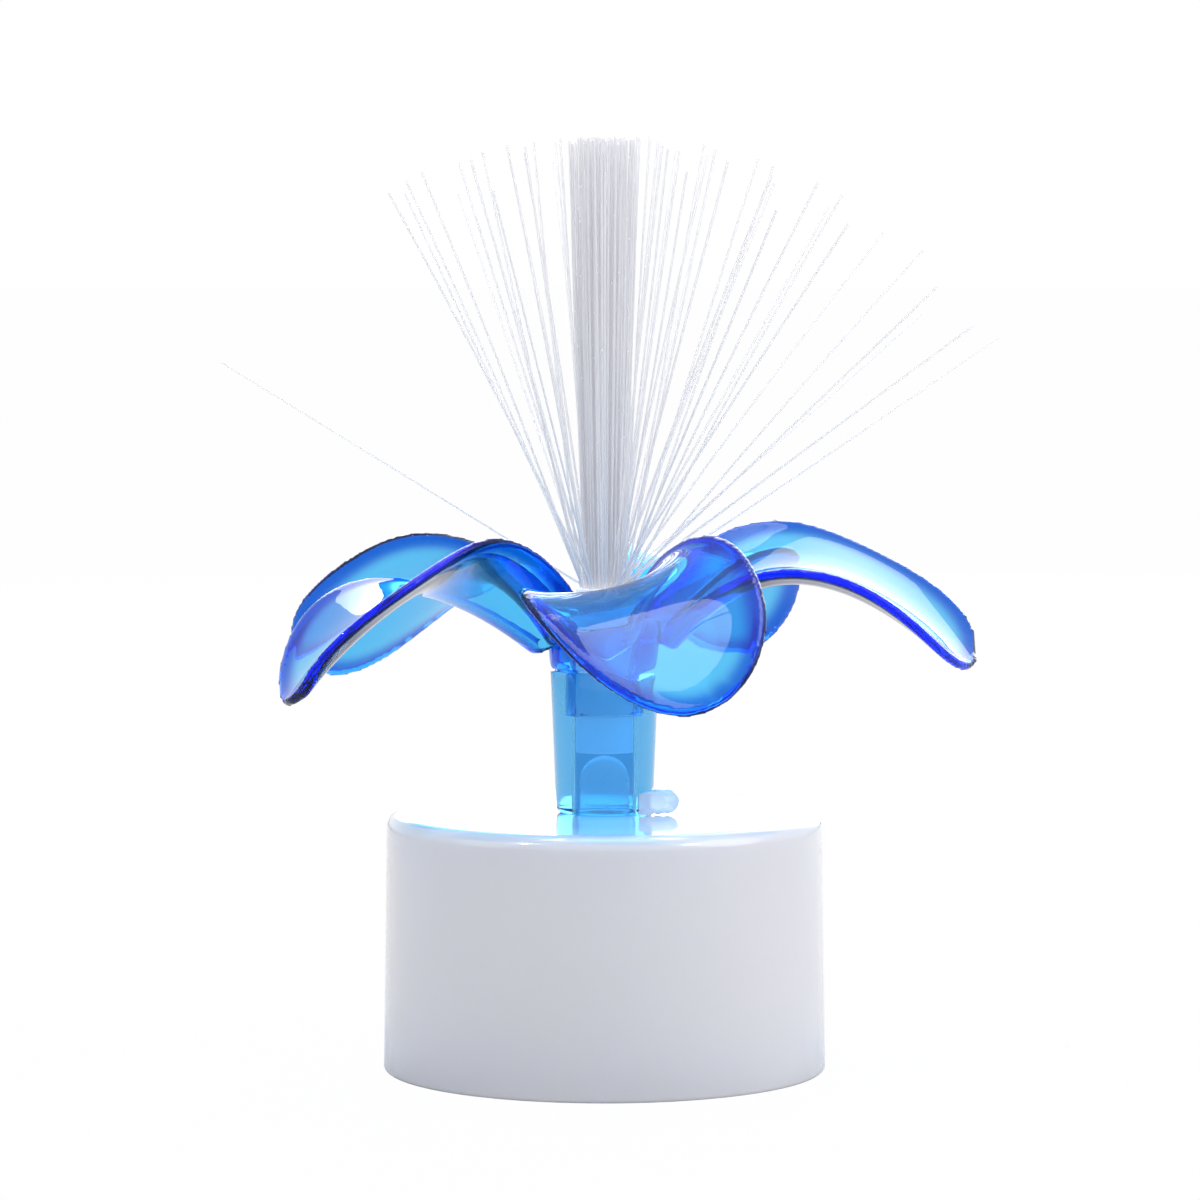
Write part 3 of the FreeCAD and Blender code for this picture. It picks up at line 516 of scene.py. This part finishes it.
@dataclass
class Studio:
    """The camera at the photograph's angle, the floor and the lamps.

    The floor is open under the base, so that light reaches the underside.
    """

    distance: float = 0.513
    eye_height: float = 0.084
    aim_height: float = 0.0478
    sidestep: float = -0.00046
    lens: float = 152.0
    sensor: float = 36.0
    nearest: float = 0.01
    farthest: float = 20.0
    floor_radius: float = 9.0
    floor_hole: float = 21.6 * MM
    floor_sides: int = 128
    floor_colour: Colour = (0.60, 0.60, 0.61)
    floor_roughness: float = 0.9
    floor_white: float = 0.985
    soft_level: float = 0.36
    lamps: Sequence[tuple[str, Triple, float, float, float]] = (
        ("top_lamp", (0.0, 0.05, 0.75), 0.03, 0.55, 3.2),
        ("left_lamp", (-0.65, -0.30, 0.32), 0.04, 0.60, 0.45),
        ("right_lamp", (0.62, -0.22, 0.36), 0.04, 0.60, 1.5),
        ("back_lamp", (0.10, 0.62, 0.34), 0.04, 0.70, 3.2),
        ("left_spark", (-0.40, -0.35, 0.50), 0.04, 0.05, 0.60),
        ("right_spark", (0.45, -0.40, 0.42), 0.04, 0.05, 0.50),
    )

    def build(self) -> None:
        """Add the camera, then the floor, the world and the lamps."""
        self.add_camera()
        self.add_floor()
        self.add_world()
        self.add_lamps()

    def add_camera(self) -> None:
        """Add the camera."""
        data = bpy.data.cameras.new("camera")
        data.sensor_width = self.sensor
        data.lens = self.lens
        data.clip_start = self.nearest
        data.clip_end = self.farthest
        camera = bpy.data.objects.new("camera", data)
        bpy.context.scene.collection.objects.link(camera)
        camera.location = (self.sidestep, -self.distance, self.eye_height)
        down = math.atan2(self.eye_height - self.aim_height, self.distance)
        camera.rotation_euler = (math.pi / 2 - down, 0, 0)
        bpy.context.scene.camera = camera

    def add_floor(self) -> None:
        """Add a pale floor: white to the camera, with the lamp's shadow, and clear from below."""
        clear_selection()
        bpy.ops.mesh.primitive_circle_add(vertices=self.floor_sides, radius=self.floor_hole,
                                          fill_type="NOTHING")
        floor = named("floor")
        bpy.ops.object.mode_set(mode="EDIT")
        bpy.ops.mesh.select_all(action="SELECT")
        bpy.ops.mesh.extrude_region_move()
        growth = self.floor_radius / self.floor_hole
        bpy.ops.transform.resize(value=(growth, growth, 1), center_override=(0, 0, 0))
        bpy.ops.object.mode_set(mode="OBJECT")
        if floor.data.polygons[0].normal.z < 0:
            floor.data.flip_normals()
        material, tree, shader = blank_material("floor_white")
        shader.inputs["Base Color"].default_value = (*self.floor_colour, 1)
        shader.inputs["Roughness"].default_value = self.floor_roughness
        output = tree.nodes["Material Output"]
        light = tree.nodes.new("ShaderNodeEmission")
        light.inputs["Strength"].default_value = 1.0
        light.inputs["Color"].default_value = (1, 1, 1, 1)
        path = tree.nodes.new("ShaderNodeLightPath")
        through = tree.nodes.new("ShaderNodeMath")
        through.operation = "MAXIMUM"
        faint = tree.nodes.new("ShaderNodeMath")
        faint.operation = "MULTIPLY"
        faint.inputs[1].default_value = self.floor_white
        mix = tree.nodes.new("ShaderNodeMixShader")
        tree.links.new(path.outputs["Is Camera Ray"], through.inputs[0])
        tree.links.new(path.outputs["Is Transmission Ray"], through.inputs[1])
        tree.links.new(through.outputs[0], faint.inputs[0])
        tree.links.new(faint.outputs[0], mix.inputs["Fac"])
        tree.links.new(shader.outputs["BSDF"], mix.inputs[1])
        tree.links.new(light.outputs["Emission"], mix.inputs[2])
        side = tree.nodes.new("ShaderNodeNewGeometry")
        clear = tree.nodes.new("ShaderNodeBsdfTransparent")
        below = tree.nodes.new("ShaderNodeMixShader")
        tree.links.new(side.outputs["Backfacing"], below.inputs["Fac"])
        tree.links.new(mix.outputs["Shader"], below.inputs[1])
        tree.links.new(clear.outputs["BSDF"], below.inputs[2])
        tree.links.new(below.outputs["Shader"], output.inputs["Surface"])
        floor.data.materials.append(material)

    def add_world(self) -> None:
        """Give the world a soft level, and a white that camera, mirror and clear rays see."""
        world = bpy.data.worlds.new("studio")
        world.use_nodes = True
        tree = world.node_tree
        back = tree.nodes["Background"]
        back.inputs["Color"].default_value = (1, 1, 1, 1)
        path = tree.nodes.new("ShaderNodeLightPath")
        seen = tree.nodes.new("ShaderNodeMath")
        seen.operation = "MAXIMUM"
        through = tree.nodes.new("ShaderNodeMath")
        through.operation = "MAXIMUM"
        level = tree.nodes.new("ShaderNodeMapRange")
        level.inputs["To Min"].default_value = self.soft_level
        level.inputs["To Max"].default_value = 1.0
        tree.links.new(path.outputs["Is Camera Ray"], seen.inputs[0])
        tree.links.new(path.outputs["Is Glossy Ray"], seen.inputs[1])
        tree.links.new(seen.outputs[0], through.inputs[0])
        tree.links.new(path.outputs["Is Transmission Ray"], through.inputs[1])
        tree.links.new(through.outputs[0], level.inputs["Value"])
        tree.links.new(level.outputs["Result"], back.inputs["Strength"])
        bpy.context.scene.world = world

    def add_lamps(self) -> None:
        """Add the soft lamps above, at each side and behind, and two small ones that spark on the gloss."""
        for name, place, aim_height, size, power in self.lamps:
            data = bpy.data.lights.new(name, "AREA")
            data.shape = "DISK"
            data.size = size
            data.energy = power
            lamp = bpy.data.objects.new(name, data)
            bpy.context.scene.collection.objects.link(lamp)
            lamp.location = place
            way = Vector((0.0, 0.0, aim_height)) - Vector(place)
            lamp.rotation_euler = way.to_track_quat("-Z", "Y").to_euler()


@dataclass
class BaseShell:
    """The milky cup of the base: drafted wall, rounded shoulder and foot, hole for the diode."""

    bottom_radius: float = 22.5 * MM
    top_radius: float = 22.15 * MM
    height: float = 26.2 * MM
    shoulder: float = 1.5 * MM
    lip_radius: float = 21.2 * MM
    cavity_radius: float = 20.6 * MM
    ledge: float = 2.8 * MM
    top_wall: float = 1.8 * MM
    hole_radius: float = 2.6 * MM
    foot_round: float = 0.35 * MM
    middle_ring: float = 0.6

    def build(self, finishes: Finishes) -> None:
        """Turn the cup and dress it.

        Args:
            finishes: The lamp's materials.
        """
        foot_in = (self.lip_radius, 0.0)
        foot_out = (self.bottom_radius, 0.0)
        brow = (self.top_radius, self.height)
        centre = (self.hole_radius, self.height)
        outline = fillet((self.lip_radius, self.ledge), foot_in, foot_out, self.foot_round, 3)
        outline += fillet(foot_in, foot_out, brow, self.foot_round, 4)
        outline += fillet(foot_out, brow, centre, self.shoulder, 10)
        outline += [
            (self.top_radius * self.middle_ring, self.height),
            centre,
            (self.hole_radius, self.height - self.top_wall),
            (self.cavity_radius, self.height - self.top_wall),
            (self.cavity_radius, self.ledge),
            (self.lip_radius, self.ledge),
        ]
        shell = turned("base_cup", outline, 160)
        keep(shell, Body.BASE, "milky_shell", finishes["milky_shell"], "base_shell")


@dataclass
class StemTube:
    """The thick clear tube between base and flower, wider at its mouth."""

    foot: float = 26.2 * MM
    height: float = 14.5 * MM
    top_radius: float = 5.5 * MM
    foot_radius: float = 4.9 * MM
    bore_radius: float = 3.0 * MM
    mouth_radius: float = 4.0 * MM
    mouth_depth: float = 4.5 * MM
    foot_round: float = 0.6 * MM
    rim_round: float = 0.25 * MM

    def build(self, finishes: Finishes) -> None:
        """Turn the tube and dress it.

        Args:
            finishes: The lamp's materials.
        """
        top = self.foot + self.height
        inner_foot = (self.bore_radius, self.foot + SEAT_GAP)
        outer_foot = (self.foot_radius, self.foot + SEAT_GAP)
        outer_top = (self.top_radius, top)
        inner_top = (self.mouth_radius, top)
        outline = [inner_foot]
        outline += fillet(inner_foot, outer_foot, outer_top, self.foot_round, 6)
        outline += fillet(outer_foot, outer_top, inner_top, self.rim_round, 4)
        outline += fillet(outer_top, inner_top, (self.mouth_radius, self.foot), self.rim_round, 4)
        outline += [
            (self.mouth_radius, top - self.mouth_depth),
            (self.bore_radius, top - self.mouth_depth),
        ]
        tube = turned("stem_sleeve", outline, 96)
        keep(tube, Body.BASE, "pale_blue", finishes["pale_blue"], "stem_tube")


@dataclass
class GlueBead:
    """The set bead of adhesive against the stem's foot: a few drops run together."""

    drops: Sequence[tuple[float, float, float, float]] = (
        (3.55, -3.95, 1.15, 1.1),
        (4.4, -3.55, 1.25, 1.2),
        (5.4, -2.9, 1.35, 1.3),
        (6.35, -2.5, 1.35, 1.25),
    )
    voxel: float = 0.12 * MM
    smoothing: int = 12

    def build(self, finishes: Finishes) -> None:
        """Run the drops together, press them flat on the base and dress the bead.

        Args:
            finishes: The lamp's materials.
        """
        low, high = (Vector(corner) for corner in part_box("glue_bead"))
        clear_selection()
        parts = []
        for x, y, rise, radius in self.drops:
            bpy.ops.mesh.primitive_uv_sphere_add(segments=32, ring_count=20, radius=radius * MM,
                                                 location=(x * MM, y * MM, low.z + rise * MM))
            parts.append(bpy.context.active_object)
        clear_selection()
        for part in parts:
            part.select_set(True)
        bpy.context.view_layer.objects.active = parts[0]
        bpy.ops.object.join()
        bead = named("adhesive_bead")
        settle(bead)
        apply_modifier(bead, "REMESH", mode="VOXEL", voxel_size=self.voxel, adaptivity=0.0)
        apply_modifier(bead, "SMOOTH", factor=0.5, iterations=self.smoothing)
        for vertex in bead.data.vertices:
            vertex.co = [min(top, max(bottom, part)) for bottom, part, top in zip(low, vertex.co, high)]
        face_outward(bead)
        pick(bead)
        bpy.ops.object.shade_smooth()
        keep(bead, Body.BASE, "adhesive", finishes["adhesive"], "glue_bead")


@dataclass
class Flower:
    """Five rolled petals round a flared neck, moulded as one.

    Ridge points, rolls and cups are the handles of Bezier curves along a petal. Those of the ridge and cups
    are in millimetres, with the petal pointing along X from the seat. Rolls and other angles are in degrees.
    """

    petals: int = 5
    seat: float = 40.7 * MM
    neck_radius: float = 3.8 * MM
    bore_radius: float = 2.95 * MM
    neck_depth: float = 4.5 * MM
    neck_rise: float = 5.6 * MM
    neck_room: float = 0.2 * MM
    flare_radius: float = 5.6 * MM
    flare_draft: float = 0.1 * MM
    flare_slope: float = 0.05 * MM
    flare_rise: float = 2.0 * MM
    lip_fall: float = 0.6 * MM
    throat_fall: float = 0.4 * MM
    wall: float = 1.3 * MM
    rim: float = 1.15 * MM
    width: float = 10.6 * MM
    root_width: float = 3.4 * MM
    widest: float = 0.54
    ridge: tuple[Triple, Triple, Triple, Triple] = (
        (4.8, 0.0, 4.3), (18.2, 0.0, 18.8), (27.7, 2.8, 9.3), (36.3, 10.8, 0.5))
    rolls: Triple = (38.0, -20.0, 47.0)
    cups: Triple = (2.9, 2.7, 0.3)
    first_angle: float = -14.0
    nudges: Sequence[float] = (0.0, 0.0, 0.0, 0.0, -2.5)
    droops: Sequence[float] = (0.0, 0.0, 0.0, 0.0, 2.2)
    # How far the painted shade at the rims and the painted light on the neck fade out.
    painted_rim_fade: float = 2.0 * MM
    painted_neck_fade: float = 1.5 * MM
    lean: float = 2.0
    nod: float = 1.0
    slope_step: float = 0.002
    tip_half_width: float = 0.05 * MM
    cup_limit: float = 0.85
    rim_start: float = 0.86
    squareness: float = 0.55
    rim_overhang: float = 0.55
    tip_easing: float = 0.6
    around: int = 56
    along: int = 72
    guide_steps: int = 160
    drill_depth: float = 40 * MM
    voxel: float = 0.35 * MM
    smoothing: int = 5

    def ridge_point(self, share: float) -> Vector:
        """Return a petal's ridge at a share of its length.

        Args:
            share: From 0 at the root to 1 at the tip.

        Returns:
            The point, in metres, with the petal pointing along X.
        """
        rest = 1 - share
        weights = (rest ** 3, 3 * share * rest ** 2, 3 * share ** 2 * rest, share ** 3)
        point = sum((Vector(handle) * weight for handle, weight in zip(self.ridge, weights)), Vector())
        return point * MM + Vector((0, 0, self.seat))

    def half_width(self, share: float) -> float:
        """Return a petal's half width at a share of its length.

        Args:
            share: From 0 at the root to 1 at the tip.

        Returns:
            The half width in metres.
        """
        if share < self.widest:
            rise = math.sin(math.pi / 2 * share / self.widest)
            return self.root_width + (self.width - self.root_width) * rise
        beyond = (share - self.widest) / (1 - self.widest)
        return self.width * math.sqrt(max(0.0, 1 - beyond ** 2))

    def section(self, share: float, turn: float) -> Vector:
        """Return a point of the closed section across a petal.

        Args:
            share: From 0 at the root to 1 at the tip.
            turn: From 0 to 1 round the section.

        Returns:
            The point, in metres.
        """
        centre = self.ridge_point(share)
        ahead = self.ridge_point(min(1, share + self.slope_step))
        behind = self.ridge_point(max(0, share - self.slope_step))
        forward = (ahead - behind).normalized()
        side = Vector((0, 0, 1)).cross(forward).normalized()
        lift = forward.cross(side)
        rest = 1 - share
        weights = (rest ** 2, 2 * share * rest, share ** 2)
        roll = math.radians(sum(handle * weight for handle, weight in zip(self.rolls, weights)))
        cup = sum(handle * weight for handle, weight in zip(self.cups, weights)) * MM
        across = side * math.cos(roll) + lift * math.sin(roll)
        up = lift * math.cos(roll) - side * math.sin(roll)
        half = max(self.half_width(share), self.tip_half_width)
        cup = min(cup, self.cup_limit * half)
        bow = (half ** 2 + cup ** 2) / (2 * cup)
        opening = math.atan2(half, bow - cup)
        phase = 2 * math.pi * turn
        swing = math.cos(phase)
        angle = opening * swing
        edge = max(0.0, (abs(swing) - self.rim_start) / (1 - self.rim_start))
        thick = self.wall / 2 + (self.rim - self.wall / 2) * edge ** 2 * (3 - 2 * edge)
        thick = min(thick, half)
        depth = math.copysign(abs(math.sin(phase)) ** self.squareness, math.sin(phase)) * thick
        radius = bow - depth
        angle += math.copysign(thick * self.rim_overhang * edge, swing) / bow
        return centre + across * (radius * math.sin(angle)) + up * (bow - cup - radius * math.cos(angle))

    def turned_point(self, number: int, share: float, turn: float) -> Vector:
        """Return a point of a petal at its place round the neck.

        Args:
            number: The petal's place in the flower.
            share: From 0 at the root to 1 at the tip.
            turn: From 0 to 1 round the section.

        Returns:
            The point, in metres.
        """
        angle = math.radians(self.first_angle + 360 / self.petals * number + self.nudges[number])
        cosine, sine = math.cos(angle), math.sin(angle)
        root = self.ridge_point(0)
        arm = self.section(share, turn) - root
        droop = math.radians(self.droops[number])
        point = root + Vector((arm.x * math.cos(droop) + arm.z * math.sin(droop), arm.y,
                               arm.z * math.cos(droop) - arm.x * math.sin(droop)))
        return Vector((point.x * cosine - point.y * sine, point.x * sine + point.y * cosine, point.z))

    def petal(self, number: int) -> bpy.types.Object:
        """Shape one petal from a grid that is wrapped into a closed tube.

        Args:
            number: The petal's place in the flower.

        Returns:
            The closed petal.
        """
        clear_selection()
        bpy.ops.mesh.primitive_grid_add(x_subdivisions=self.around, y_subdivisions=self.along, size=1.0)
        petal = named("petal_%d" % number)
        for vertex in petal.data.vertices:
            share = min(1.0, max(0.0, vertex.co.y + 0.5))
            eased = math.sin(share * math.pi / 2) * self.tip_easing + share * (1 - self.tip_easing)
            vertex.co = self.turned_point(number, eased, vertex.co.x + 0.5)
        face_outward(petal, 1e-6)
        pick(petal)
        bpy.ops.object.mode_set(mode="EDIT")
        bpy.ops.mesh.select_all(action="DESELECT")
        bpy.ops.mesh.select_non_manifold()
        bpy.ops.mesh.fill_holes(sides=0)
        bpy.ops.object.mode_set(mode="OBJECT")
        face_outward(petal, 1e-6)
        return petal

    def neck(self) -> bpy.types.Object:
        """Turn the flared neck.

        Returns:
            The closed neck.
        """
        foot = self.seat - self.neck_depth + SEAT_GAP
        top = self.seat + self.neck_rise
        outline = [
            (self.bore_radius, foot),
            (self.neck_radius, foot),
            (self.neck_radius, self.seat + self.neck_room),
            (self.flare_radius - self.flare_draft, self.seat + self.neck_room + self.flare_slope),
            (self.flare_radius, self.seat + self.flare_rise),
            (self.flare_radius, top - self.lip_fall),
            (self.flare_radius - self.wall / 2, top),
            (self.flare_radius - self.wall, top - self.throat_fall),
            (self.bore_radius, self.seat + self.neck_rise / 2),
        ]
        return turned("flower_neck", outline, 96)

    def rim_guide(self) -> bpy.types.Object:
        """Make loose points along both rims of every petal.

        Returns:
            A helper that only holds the points.
        """
        points = []
        for number in range(self.petals):
            for step in range(self.guide_steps + 1):
                for turn in (0.0, 0.5):
                    points.append(self.turned_point(number, step / self.guide_steps, turn))
        mesh = bpy.data.meshes.new("rim_guide")
        mesh.from_pydata(points, [], [])
        guide = bpy.data.objects.new("rim_guide", mesh)
        bpy.context.scene.collection.objects.link(guide)
        return guide

    def mark_painted_light(self, flower: bpy.types.Object, guide: bpy.types.Object) -> None:
        """Store how near each point is to a rim, in red, for the painted rim shade, and whether it is in the
        stem's mouth, in green, for the painted light on the neck there.

        Args:
            flower: The finished moulding.
            guide: The helper that holds the rims' points.
        """
        tree = KDTree(len(guide.data.vertices))
        for index, vertex in enumerate(guide.data.vertices):
            tree.insert(vertex.co, index)
        tree.balance()
        marks = flower.data.attributes.new(PAINTED_LIGHT_MARKS, "FLOAT_COLOR", "POINT")
        for index, vertex in enumerate(flower.data.vertices):
            distance = tree.find(vertex.co)[2]
            # Red: the painted rim shade, full within a rim's thickness and fading beyond it.
            near = 1 - min(1.0, max(0.0, (distance - self.rim) / self.painted_rim_fade))
            # Green: the painted light on the neck, below the seat and inside the flare.
            low = min(1.0, max(0.0, (self.seat + self.painted_neck_fade - vertex.co.z) / self.painted_neck_fade))
            low *= float(math.hypot(vertex.co.x, vertex.co.y) < self.flare_radius)
            marks.data[index].color = (near * near * (3 - 2 * near), low, 0.0, 1.0)
        bpy.data.objects.remove(guide)

    def tilt(self, flower: bpy.types.Object) -> None:
        """Lean the flower a little, as far as its neck's play in the mouth lets it.

        Args:
            flower: The joined moulding.
        """
        pick(flower)
        bpy.ops.object.mode_set(mode="EDIT")
        bpy.ops.mesh.select_all(action="SELECT")
        for angle, axis in ((self.lean, "Y"), (self.nod, "X")):
            bpy.ops.transform.rotate(value=math.radians(angle), orient_axis=axis,
                                     center_override=(0, 0, self.seat))
        bpy.ops.object.mode_set(mode="OBJECT")

    def build(self, finishes: Finishes) -> None:
        """Join the petals and neck into one moulding and dress it.

        Args:
            finishes: The lamp's materials.
        """
        parts = [self.petal(number) for number in range(self.petals)] + [self.neck()]
        clear_selection()
        for part in parts:
            part.select_set(True)
        bpy.context.view_layer.objects.active = parts[0]
        bpy.ops.object.join()
        flower = named("flower_moulding")
        guide = self.rim_guide()
        self.tilt(flower)
        self.tilt(guide)
        apply_modifier(flower, "REMESH", mode="VOXEL", voxel_size=self.voxel, adaptivity=0.0)
        clear_selection()
        bpy.ops.mesh.primitive_cylinder_add(vertices=96, radius=self.bore_radius, depth=self.drill_depth,
                                            location=(0, 0, self.seat))
        drill = named("bore_drill")
        settle(drill)
        apply_modifier(flower, "BOOLEAN", operation="DIFFERENCE", object=drill, solver="EXACT")
        bpy.data.objects.remove(drill)
        apply_modifier(flower, "SMOOTH", factor=0.5, iterations=self.smoothing)
        self.mark_painted_light(flower, guide)
        pick(flower)
        bpy.ops.object.shade_smooth()
        keep(flower, Body.HEAD, "clear_blue", finishes["clear_blue"], "flower")


@dataclass
class FibreSpray:
    """The clear strands: a dense upright core and a fan that spreads. Leans and turns are in degrees."""

    root_height: float = 49.0 * MM
    strand_radius: float = 0.12 * MM
    length: float = 45.6 * MM
    right_leans: Sequence[float] = (
        3, 5, 7, 8.5, 10, 12, 13.5, 15.5, 17.5, 19.5, 22, 23.5, 26, 28.5, 31, 34.5, 38, 41, 47, 52, 54, 56)
    left_leans: Sequence[float] = (4, 6, 8, 9.5, 11.5, 13, 15, 16.5, 19, 21.5, 23.5, 26.5, 29, 60)
    front_back_leans: Sequence[float] = (8, 12, 16, 20, 24, 28, 32)
    spans: int = 8
    core_rings: int = 5
    core_pitch: float = 0.38 * MM
    core_splay: float = 1.9
    core_stray: float = 0.3
    core_bow: float = 0.3 * MM
    core_short: float = 0.9 * MM
    ring_turn: float = 17
    lane_lead: float = 0.75
    lane_step: float = 0.27 * MM
    fan_short: float = 0.3 * MM
    fan_beat: float = 2.4
    fan_bow: tuple[float, float] = (-0.2 * MM, 0.35 * MM)

    def strands(self, name: str, lines: Iterable[Sequence[Vector]]) -> bpy.types.Object:
        """Make one mesh of thin round strands.

        Args:
            name: The piece's name.
            lines: The points that each strand follows.

        Returns:
            The mesh piece.
        """
        curve = bpy.data.curves.new(name, "CURVE")
        curve.dimensions = "3D"
        curve.bevel_depth = self.strand_radius
        curve.bevel_resolution = 1
        curve.use_fill_caps = True
        for line in lines:
            spline = curve.splines.new("POLY")
            spline.points.add(len(line) - 1)
            for point, place in zip(spline.points, line):
                point.co = (*place, 1)
        thing = bpy.data.objects.new(name, curve)
        bpy.context.scene.collection.objects.link(thing)
        pick(thing)
        bpy.ops.object.convert(target="MESH")
        thing = named(name)
        bpy.ops.object.shade_smooth()
        return thing

    def line(self, root: Vector, lean: float, turn: float, length: float, bow: float) -> list[Vector]:
        """Return the points of one strand.

        Args:
            root: Where it leaves the bundle.
            lean: Its lean from upright, in degrees.
            turn: The heading of the lean, in degrees.
            length: Its length in metres.
            bow: How far its middle bows upward, in metres.

        Returns:
            Points from root to tip.
        """
        tilt, heading = math.radians(lean), math.radians(turn)
        out = Vector((math.cos(heading), math.sin(heading), 0))
        direction = out * math.sin(tilt) + Vector((0, 0, math.cos(tilt)))
        normal = out * -math.cos(tilt) + Vector((0, 0, math.sin(tilt)))
        points = []
        for step in range(self.spans + 1):
            share = step / self.spans
            points.append(root + direction * (length * share) + normal * (4 * bow * share * (1 - share)))
        return points

    def core_lines(self, chance: random.Random) -> list[list[Vector]]:
        """Return the upright strands.

        Args:
            chance: The seeded source of small differences.

        Returns:
            The points of each strand.
        """
        lines = []
        for ring in range(self.core_rings + 1):
            count = max(1, 6 * ring)
            for place in range(count):
                turn = 360 * place / count + self.ring_turn * ring
                radius = ring * self.core_pitch
                root = Vector((radius * math.cos(math.radians(turn)), radius * math.sin(math.radians(turn)),
                               self.root_height))
                lean = self.core_splay * ring / self.core_rings
                lean += chance.uniform(-self.core_stray, self.core_stray)
                length = self.length - chance.uniform(0, self.core_short)
                bow = chance.uniform(-self.core_bow, self.core_bow)
                lines.append(self.line(root, lean, turn, length, bow))
        return lines

    def fan_lines(self, chance: random.Random) -> list[list[Vector]]:
        """Return the strands that spread.

        Args:
            chance: The seeded source of small differences.

        Returns:
            The points of each strand.
        """
        lines = []
        fans = (
            (self.right_leans, 0, 24, 70),
            (self.left_leans, 180, 24, 60),
            (self.front_back_leans, 90, 40, 40),
            (self.front_back_leans, 270, 40, 40),
        )
        for leans, heading, swing, root_swing in fans:
            for number, lean in enumerate(leans):
                offset = math.sin(self.fan_beat * number + heading)
                around = math.radians(heading + root_swing * offset)
                lane = self.core_pitch * (self.core_rings + self.lane_lead) + self.lane_step * (number % 2)
                root = Vector((lane * math.cos(around), lane * math.sin(around), self.root_height))
                length = self.length - self.fan_short * (number % 4)
                bow = chance.uniform(*self.fan_bow)
                lines.append(self.line(root, lean, heading + swing * offset, length, bow))
        return lines

    def build(self, finishes: Finishes) -> None:
        """Make the two groups of strands and dress them.

        Args:
            finishes: The lamp's materials.
        """
        chance = random.Random(7)
        core = self.strands("upright_strands", self.core_lines(chance))
        keep(core, Body.HEAD, "fibre", finishes["fibre"], "fibre_core")
        fan = self.strands("spread_strands", self.fan_lines(chance))
        keep(fan, Body.HEAD, "fibre", finishes["fibre"], "fibre_fan")


@dataclass
class CarriedNodes:
    """The CAD nodes whose own shape stays: they only get their finish."""

    own_finish: dict[str, str] = field(default_factory=lambda: {"fibre_bundle": "bundle"})

    def build(self, frame: dict, finishes: Finishes) -> None:
        """Give each node that still shows the finish of its slot.

        Args:
            frame: The loaded frame.
            finishes: The lamp's materials.
        """
        slots = {entry["node"]: entry["material_slot"] for entry in frame["record"]["subparts"]}
        for node, thing in frame["nodes"].items():
            finish = self.own_finish.get(node, slots[node])
            thing.data.materials.clear()
            thing.data.materials.append(finishes[finish])
            if not thing.hide_render:
                LOG.info("%s keeps its shape and takes %s", node, finish)


def main() -> None:
    """Build the studio and every piece of the lamp, in order."""
    logging.basicConfig(level=logging.INFO, format="%(name)s: %(message)s")
    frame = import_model()
    bpy.context.scene.view_settings.view_transform = "Standard"
    Studio().build()
    finishes = Finishes()
    finishes.build()
    BaseShell().build(finishes)
    StemTube().build(finishes)
    GlueBead().build(finishes)
    Flower().build(finishes)
    FibreSpray().build(finishes)
    CarriedNodes().build(frame, finishes)


if __name__ == "__main__":
    main()
